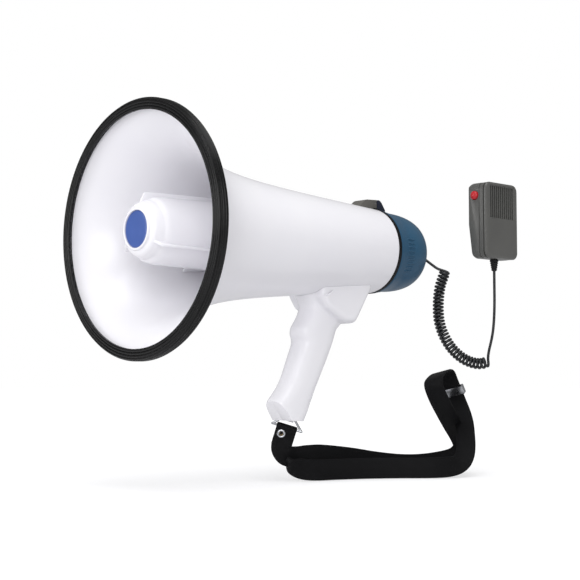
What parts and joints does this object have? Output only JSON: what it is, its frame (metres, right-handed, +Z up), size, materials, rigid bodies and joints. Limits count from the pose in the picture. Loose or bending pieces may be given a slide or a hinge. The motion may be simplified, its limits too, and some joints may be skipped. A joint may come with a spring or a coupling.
{
  "type": "handheld_pistol_grip_megaphone",
  "caption": "White handheld megaphone with a black rubber rim, pistol grip, blue rear battery cap, curly-cord fist microphone and black carrying strap.",
  "frame": {"origin": "the middle of the hand grip", "axes": "+X runs back along the horn's axis to the rear cap, the mouth faces -X, +Z is up, and the microphone hangs on the -Y side"},
  "size_m": [0.42, 0.23, 0.343],
  "materials": {
    "body_white": "glossy moulded ABS with soft reflections",
    "rim_rubber": "moulded black rubber, slightly dull",
    "reflector_white": "glossy moulded ABS, faintly lilac in the shade",
    "badge_blue": "plain royal blue plate",
    "screw_steel": "zinc-plated screw",
    "driver_metal": "painted steel",
    "diaphragm_film": "phenolic film",
    "magnet_ferrite": "dull ferrite",
    "latch_plastic": "dark grey-brown plastic",
    "lever_plastic": "smooth bluish-black plastic",
    "spring_steel": "bright spring steel",
    "ring_steel": "nickel-plated steel",
    "strap_fabric": "tightly woven black polypropylene webbing",
    "cap_blue": "steel-blue ABS with a fine satin texture",
    "panel_plastic": "dark satin plastic",
    "knob_plastic": "black satin plastic",
    "circuit_board": "green solder mask",
    "component_black": "black component bodies",
    "tray_plastic": "black moulded plastic",
    "cell_jacket": "printed film jacket, plain",
    "contact_brass": "brass strip",
    "cord_rubber": "black cord jacket",
    "mic_plastic": "dark grey textured ABS",
    "button_red": "glossy red plastic"
  },
  "bodies": {
    "main_body": {"horn_shell": "body_white", "rim_ring": "rim_rubber", "reflector": "reflector_white", "badge_plate": "badge_blue", "throat_plate": "reflector_white", "throat_screws": "screw_steel", "driver_housing": "driver_metal", "driver_diaphragm": "diaphragm_film", "driver_magnet": "magnet_ferrite", "driver_yoke": "driver_metal", "handle_left": "body_white", "handle_right": "body_white", "handle_end": "body_white", "handle_screws": "screw_steel", "saddle_screws": "screw_steel", "latch_housing": "latch_plastic", "latch_pin": "screw_steel", "latch_spring": "spring_steel", "strap_ring": "ring_steel", "strap_webbing": "strap_fabric", "strap_rivet": "ring_steel"},
    "rear_pack": {"rear_cap": "cap_blue", "cap_gasket": "rim_rubber", "control_panel": "panel_plastic", "panel_screws": "screw_steel", "volume_pot": "driver_metal", "mode_switch": "driver_metal", "amplifier_board": "circuit_board", "amplifier_parts": "component_black", "battery_tray": "tray_plastic", "battery_cells": "cell_jacket", "battery_springs": "spring_steel", "battery_contacts": "contact_brass", "cord_gland": "cord_rubber", "cord_lead": "cord_rubber", "cord_curl": "cord_rubber", "cord_tail": "cord_rubber", "mic_relief": "cord_rubber", "mic_front": "mic_plastic", "mic_back": "mic_plastic", "mic_board": "circuit_board", "mic_capsule": "driver_metal", "mic_switch": "component_black", "mic_screws": "screw_steel"},
    "volume": {"volume_knob": "knob_plastic", "volume_shaft": "spring_steel"},
    "mode": {"mode_slider": "knob_plastic"},
    "latch": {"latch_lever": "lever_plastic"},
    "talk": {"talk_button": "button_red"},
    "adjuster": {"strap_adjuster": "ring_steel"}
  },
  "joints": [
    {"name": "cap_slide", "type": "slide", "parent": "main_body", "child": "rear_pack", "axis": [1, 0, 0], "range_m": [0, 0.12]},
    {"name": "latch_hinge", "type": "hinge", "parent": "main_body", "child": "latch", "pos_m": [0.0925, 0, 0.1609], "axis": [0, -1, 0], "range_deg": [0, 18], "stiffness_Nm_per_rad": 0.2, "springref_deg": -11.46, "deforming": ["latch_spring"]},
    {"name": "volume_turn", "type": "hinge", "parent": "rear_pack", "child": "volume", "pos_m": [0.14, 0.01, 0.121], "axis": [-1, 0, 0], "range_deg": [0, 300]},
    {"name": "mode_slide", "type": "slide", "parent": "rear_pack", "child": "mode", "axis": [0, 1, 0], "range_m": [0, 0.004]},
    {"name": "talk_press", "type": "slide", "parent": "rear_pack", "child": "talk", "axis": [1, 0, 0], "range_m": [0, 0.002], "stiffness_N_per_m": 300, "springref_m": -0.002},
    {"name": "adjuster_slide", "type": "slide", "parent": "main_body", "child": "adjuster", "axis": [0.4457, -0.081, -0.8915], "range_m": [-0.005, 0.005]}
  ]
}
